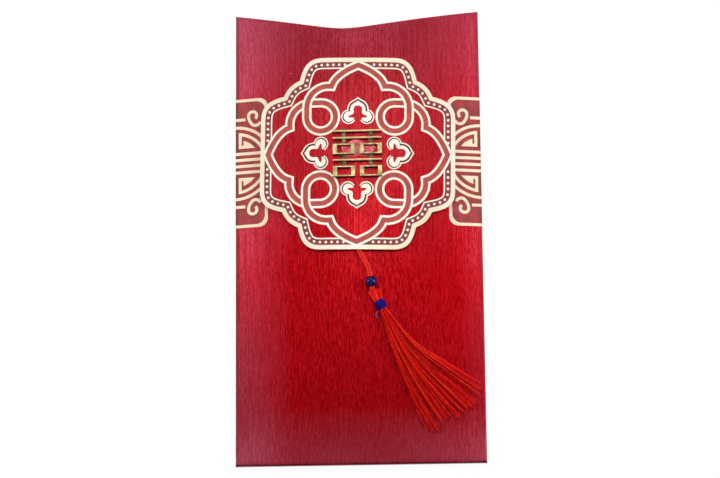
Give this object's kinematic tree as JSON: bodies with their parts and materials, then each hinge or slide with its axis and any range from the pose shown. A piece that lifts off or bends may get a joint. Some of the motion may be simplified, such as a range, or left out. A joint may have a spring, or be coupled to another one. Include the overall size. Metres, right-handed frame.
{
  "type": "red gift envelope",
  "caption": "Long red card envelope for gift money, with a raised ornamental medallion, a fretwork charm and a beaded silk tassel on a cord.",
  "frame": {"origin": "middle of the footprint, on the table under the envelope's back", "axes": "+X to the right across the front, +Y along the length to the curved top edge, +Z out of the front face"},
  "size_m": [0.0902, 0.17, 0.0108],
  "materials": {
    "red_card": "brushed red metallic foil on card, grain along the length",
    "card_inside": "plain uncoated inside of the card",
    "band_ink": "dull red printed ground",
    "gold_foil": "hot-stamped pale gold foil",
    "dark_ink": "matt dark red print",
    "ribbon_ink": "matt salmon print",
    "foam": "soft white adhesive foam",
    "charm_metal": "pale plated casting, satin",
    "silk_cord": "twisted silky thread",
    "bead": "dark blue, polished",
    "winding_thread": "dark blue-violet wound thread",
    "silk_skirt": "orange-red silk floss"
  },
  "bodies": {
    "envelope": {"front_panel": "red_card", "back_panel": "red_card", "side_glue_tab": "card_inside", "bottom_flap": "red_card", "top_end_wall": "red_card", "left_band_print": "band_ink", "right_band_print": "band_ink", "left_band_foil": "gold_foil", "right_band_foil": "gold_foil", "medallion_card": "red_card", "foam_pads": "foam", "rim_foil": "gold_foil", "dotted_band_print": "dark_ink", "dot_foil": "gold_foil", "inner_line_foil": "gold_foil", "ribbon_print": "ribbon_ink", "ribbon_line_foil": "gold_foil", "cloud_shade_print": "dark_ink", "cloud_foil": "gold_foil", "charm_glue": "foam", "fretwork_charm": "charm_metal", "cord_anchor": "silk_cord"},
    "flap": {"closing_flap": "red_card"},
    "cord": {"hanging_cord": "silk_cord"},
    "bead": {"round_bead": "bead"},
    "tassel": {"tassel_head": "silk_cord", "collar_winding": "winding_thread", "thread_tail": "winding_thread", "tassel_skirt": "silk_skirt"}
  },
  "joints": [
    {"name": "flap_hinge", "type": "hinge", "parent": "envelope", "child": "flap", "pos_m": [0, 0.07525, 0], "axis": [1, 0, 0], "range_deg": [0, 175]},
    {"name": "cord_swing", "type": "hinge", "parent": "envelope", "child": "cord", "pos_m": [0.00045, -0.00811, 0.00727], "axis": [0, -0.0722, 0.9974], "range_deg": [-85, 35]},
    {"name": "bead_slide", "type": "slide", "parent": "cord", "child": "bead", "axis": [0.1392, -0.9877, -0.0715], "range_m": [-0.0016, 0.0002]},
    {"name": "tassel_lift", "type": "hinge", "parent": "cord", "child": "tassel", "pos_m": [0.00483, -0.02216, 0.00845], "axis": [-0.8829, -0.4682, -0.0339], "range_deg": [0, 55]}
  ]
}
